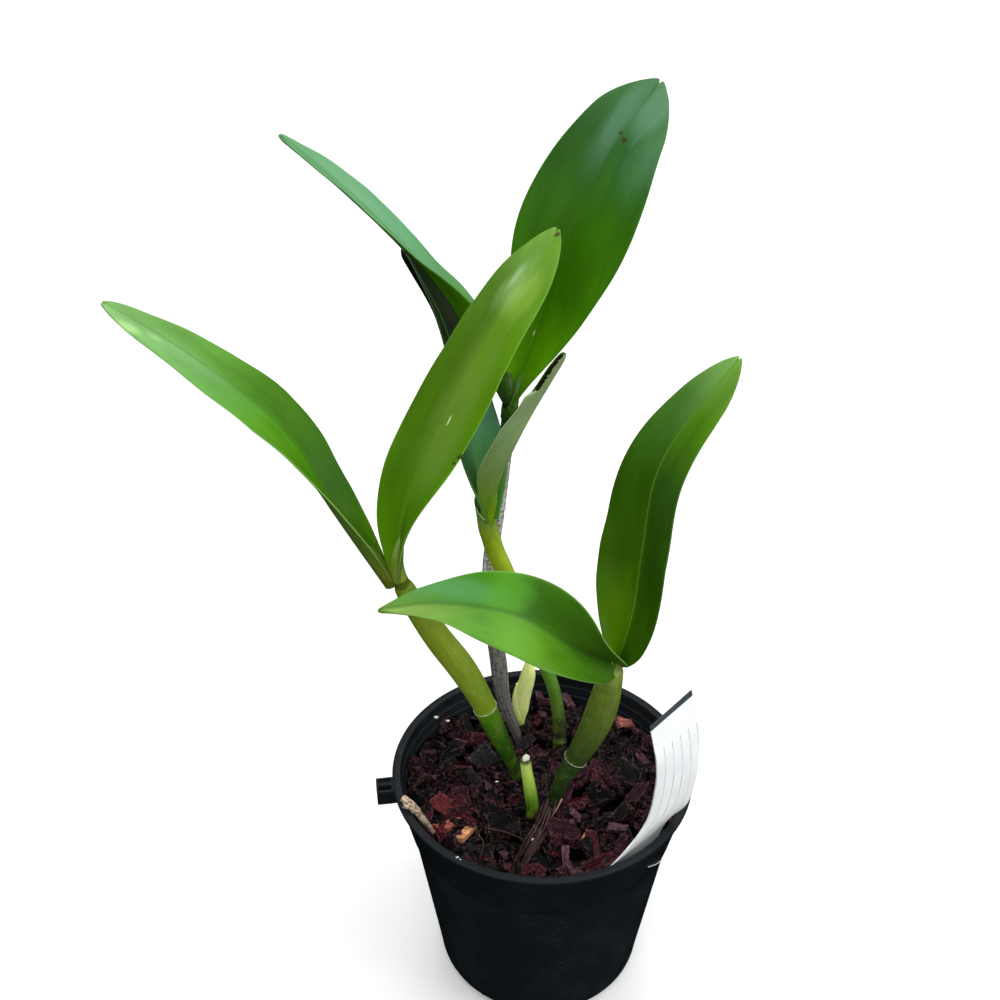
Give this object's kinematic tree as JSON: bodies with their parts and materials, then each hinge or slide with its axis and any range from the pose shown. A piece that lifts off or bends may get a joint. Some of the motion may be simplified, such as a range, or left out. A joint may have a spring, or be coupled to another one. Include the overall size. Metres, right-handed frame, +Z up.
{
  "type": "potted cattleya orchid",
  "caption": "Leafy orchid out of bloom, with slender jointed stems and broad folded leaves, growing in bark chips in a round tapered nursery pot with a plant label.",
  "frame": {"origin": "centre of the pot's flat foot, on the surface it stands on", "axes": "+Z up along the pot's axis, -Y towards the front, +X to the right: the label socket on the rim is at -X and the plant label at +X -Y"},
  "size_m": [0.2424, 0.1387, 0.3869],
  "materials": {
    "pot": "soft black plastic, faintly glossy, with dust and fine scratches",
    "bark": "damp bark chips, red-brown to black, matte",
    "rhizome": "matte, woody",
    "green_stem": "smooth yellow-green skin, satin",
    "olive_stem": "smooth olive skin, satin",
    "dry_stem": "papery grey-brown, matte",
    "shoot": "pale green, satin",
    "leaf": "thick waxy green leaf, satin to glossy",
    "dark_leaf": "thick waxy dark green leaf, glossy",
    "label": "white flexible plastic strip, satin",
    "dry_root": "pale papery dead root, matte",
    "old_sheath": "dark dry sheath, matte"
  },
  "bodies": {
    "root": {"pot": "pot", "bark_mix": "bark", "rhizome": "rhizome", "pseudobulb_left": "green_stem", "pseudobulb_right": "olive_stem", "pseudobulb_middle": "green_stem", "pseudobulb_old": "dry_stem", "fresh_shoot": "shoot", "cut_shoot": "shoot", "leaf_left_outer": "leaf", "leaf_left_front": "leaf", "leaf_right_low": "leaf", "leaf_right_tall": "leaf", "leaf_middle_torn": "leaf", "leaf_middle_back": "leaf", "leaf_old_tall": "dark_leaf", "leaf_old_back": "dark_leaf", "plant_label": "label", "dry_root": "dry_root", "old_sheath": "old_sheath"}
  },
  "joints": []
}
